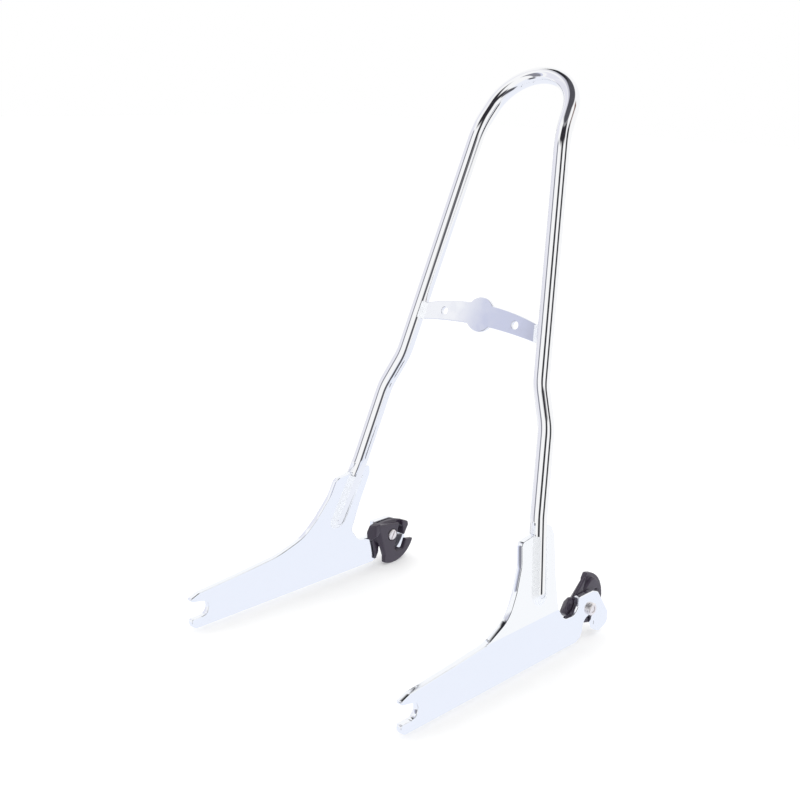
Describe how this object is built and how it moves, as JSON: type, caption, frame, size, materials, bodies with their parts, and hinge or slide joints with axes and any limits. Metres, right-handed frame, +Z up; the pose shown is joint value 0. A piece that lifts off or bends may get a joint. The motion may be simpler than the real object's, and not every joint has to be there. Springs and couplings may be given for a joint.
{
  "type": "detachable sissy bar",
  "caption": "Detachable passenger backrest hoop: a bent chrome tube hoop welded to two slotted side plates, with a strap for the pad and turning black latches.",
  "frame": {"origin": "centre of the object's bounding box in plan, at the lowest point that it stands on (the rim of the right-hand latch)", "axes": "+Z up, the long way of the hoop; +X to the vehicle's left, square to the side plates; -Y forward, to the plates' front tips, so the hoop leans to +Y"},
  "size_m": [0.2824, 0.3395, 0.5335],
  "materials": {
    "hoop_chrome": "mirror-bright plated tube",
    "plate_chrome": "bright plated sheet and welds",
    "strap_chrome": "bright plated strap, a little duller",
    "latch_plastic": "satin black moulding",
    "spring_steel": "plain spring steel",
    "screw_steel": "bright zinc-plated steel"
  },
  "bodies": {
    "frame": {"upright_tube": "hoop_chrome", "side_plate_left": "plate_chrome", "side_plate_right": "plate_chrome", "pad_strap": "strap_chrome", "leg_weld_left": "plate_chrome", "leg_weld_right": "plate_chrome", "strap_weld_left": "strap_chrome", "strap_weld_right": "strap_chrome", "latch_spring_left": "spring_steel", "latch_spring_right": "spring_steel", "pivot_screw_left": "screw_steel", "pivot_screw_right": "screw_steel", "pivot_nut_left": "screw_steel", "pivot_nut_right": "screw_steel"},
    "latch_left": {"latch_left": "latch_plastic"},
    "latch_right": {"latch_right": "latch_plastic"}
  },
  "joints": [
    {"name": "latch_left_turn", "type": "hinge", "parent": "frame", "child": "latch_left", "pos_m": [0.12665, 0.09972, 0.0333], "axis": [1, 0, 0], "range_deg": [-149, 11]},
    {"name": "latch_right_turn", "type": "hinge", "parent": "frame", "child": "latch_right", "pos_m": [-0.12665, 0.09972, 0.0333], "axis": [1, 0, 0], "range_deg": [-150, 10]}
  ]
}
